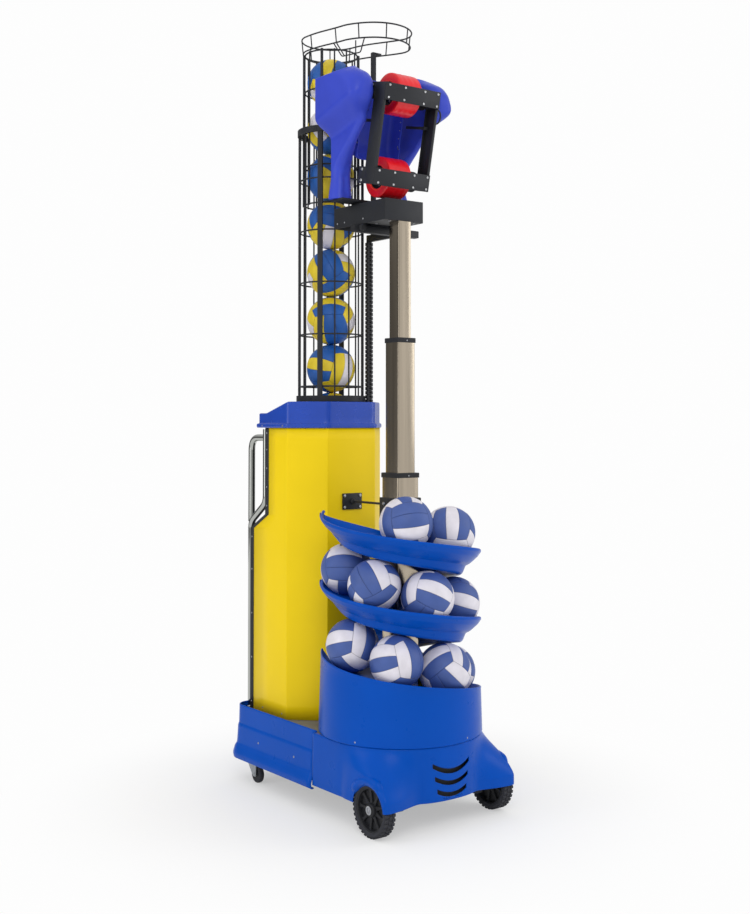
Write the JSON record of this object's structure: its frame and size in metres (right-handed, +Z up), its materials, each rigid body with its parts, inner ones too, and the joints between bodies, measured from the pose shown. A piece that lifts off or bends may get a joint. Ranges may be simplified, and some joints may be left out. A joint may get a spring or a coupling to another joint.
{
  "type": "volleyball training machine",
  "caption": "Wheeled ball-launching machine: a ball tower and cage, spiral ball trays round a telescoping mast, and a two-wheel launching head on a yoke.",
  "frame": {"origin": "centre of the bounding box at floor level", "axes": "+Z up, -Y the launching side, +X to the right seen from behind the machine"},
  "size_m": [0.66, 1.1355, 3.2],
  "materials": {
    "moulded_blue": "glossy rotomoulded plastic",
    "head_blue": "glossy moulded plastic",
    "cap_blue": "glossy moulded plastic",
    "yellow_paint": "powder coat",
    "black_paint": "satin powder coat",
    "stainless": "bright rolled stainless",
    "chrome": "polished",
    "zinc": "zinc plated",
    "grey_steel": "machined",
    "black_plastic": "moulded",
    "red_urethane": "cast polyurethane",
    "black_tyre": "moulded rubber",
    "ball_leather": "panelled synthetic leather"
  },
  "bodies": {
    "frame": {"chassis_frame": "black_paint", "deck_plate": "grey_steel", "rear_skirt": "moulded_blue", "front_base_shell": "moulded_blue", "ball_bucket": "moulded_blue", "middle_ball_tray": "moulded_blue", "top_ball_tray": "moulded_blue", "mast_outer": "stainless", "mast_sleeve": "black_paint", "lower_mast_collar": "black_plastic", "tower_shell": "yellow_paint", "back_panel": "black_paint", "left_handle_tube": "chrome", "right_handle_tube": "chrome", "top_cap": "cap_blue", "cage_guide_ring": "black_plastic", "front_axle": "zinc", "left_caster_plate": "zinc", "right_caster_plate": "zinc", "brace_stay": "black_paint", "lifter_rail": "grey_steel", "lifter_motor": "black_plastic", "control_box": "black_paint", "ball_column": "ball_leather", "top_tray_balls": "ball_leather", "middle_tray_balls": "ball_leather", "bucket_balls": "ball_leather"},
    "front_wheel_left": {"left_front_wheel": "black_tyre"},
    "front_wheel_right": {"right_front_wheel": "black_tyre"},
    "caster_left": {"left_caster_fork": "zinc"},
    "caster_right": {"right_caster_fork": "zinc"},
    "caster_wheel_left": {"left_caster_wheel": "black_tyre"},
    "caster_wheel_right": {"right_caster_wheel": "black_tyre"},
    "middle_stage": {"mast_middle": "stainless", "upper_mast_collar": "black_plastic"},
    "middle_cage": {"cage_middle": "black_paint"},
    "carriage": {"mast_inner": "stainless", "crossbeam": "black_paint", "cage_bracket": "black_paint", "cage_upper": "black_paint", "hoop_basket": "black_paint", "drag_chain": "black_plastic"},
    "clamp_knob": {"clamp_knob": "black_plastic"},
    "yoke": {"yoke_base": "black_paint", "left_yoke_cover": "head_blue", "right_yoke_cover": "head_blue"},
    "head": {"head_frame": "black_paint", "ball_chute": "head_blue", "upper_wheel_motor": "black_plastic", "lower_wheel_motor": "black_plastic", "left_pitch_pin": "grey_steel", "right_pitch_pin": "grey_steel", "head_cable": "black_plastic"},
    "upper_wheel": {"upper_launch_wheel": "red_urethane"},
    "lower_wheel": {"lower_launch_wheel": "red_urethane"},
    "lifter": {"ball_lifter": "grey_steel"}
  },
  "joints": [
    {"name": "left_front_wheel_spin", "type": "hinge", "parent": "frame", "child": "front_wheel_left", "pos_m": [-0.293, -0.455, 0.103], "axis": [1, 0, 0], "continuous": true},
    {"name": "right_front_wheel_spin", "type": "hinge", "parent": "frame", "child": "front_wheel_right", "pos_m": [0.293, -0.455, 0.103], "axis": [1, 0, 0], "continuous": true},
    {"name": "left_caster_swivel", "type": "hinge", "parent": "frame", "child": "caster_left", "pos_m": [-0.262, 0.44, 0.085], "axis": [0, 0, 1], "continuous": true},
    {"name": "right_caster_swivel", "type": "hinge", "parent": "frame", "child": "caster_right", "pos_m": [0.262, 0.44, 0.085], "axis": [0, 0, 1], "continuous": true},
    {"name": "left_caster_spin", "type": "hinge", "parent": "caster_left", "child": "caster_wheel_left", "pos_m": [-0.262, 0.41, 0.0375], "axis": [1, 0, 0], "continuous": true},
    {"name": "right_caster_spin", "type": "hinge", "parent": "caster_right", "child": "caster_wheel_right", "pos_m": [0.262, 0.41, 0.0375], "axis": [1, 0, 0], "continuous": true},
    {"name": "mast_lower_slide", "type": "slide", "parent": "frame", "child": "middle_stage", "axis": [0, 0, 1], "range_m": [-0.3, 0]},
    {"name": "mast_upper_slide", "type": "slide", "parent": "middle_stage", "child": "carriage", "axis": [0, 0, 1], "range_m": [-0.3, 0]},
    {"name": "cage_slide", "type": "slide", "parent": "frame", "child": "middle_cage", "axis": [0, 0, 1], "range_m": [-0.3, 0]},
    {"name": "clamp_knob_turn", "type": "hinge", "parent": "carriage", "child": "clamp_knob", "pos_m": [-0.096, -0.0953, 2.3297], "axis": [0, 1, 0], "continuous": true},
    {"name": "head_yaw", "type": "hinge", "parent": "carriage", "child": "yoke", "pos_m": [0, -0.05, 2.4313], "axis": [0, 0, 1], "range_deg": [-20, 20]},
    {"name": "head_pitch", "type": "hinge", "parent": "yoke", "child": "head", "pos_m": [0, -0.225, 2.848], "axis": [1, 0, 0], "range_deg": [-35, 6]},
    {"name": "upper_wheel_spin", "type": "hinge", "parent": "head", "child": "upper_wheel", "pos_m": [0, -0.23182, 2.86086], "axis": [1, 0, 0], "continuous": true},
    {"name": "lower_wheel_spin", "type": "hinge", "parent": "head", "child": "lower_wheel", "pos_m": [0, -0.16217, 2.53318], "axis": [1, 0, 0], "continuous": true},
    {"name": "lifter_slide", "type": "slide", "parent": "frame", "child": "lifter", "axis": [0, 0, 1], "range_m": [-0.28, 0]}
  ],
  "couplings": [
    {"joint": "mast_upper_slide", "follows": "mast_lower_slide", "ratio": 1},
    {"joint": "cage_slide", "follows": "mast_lower_slide", "ratio": 1}
  ]
}
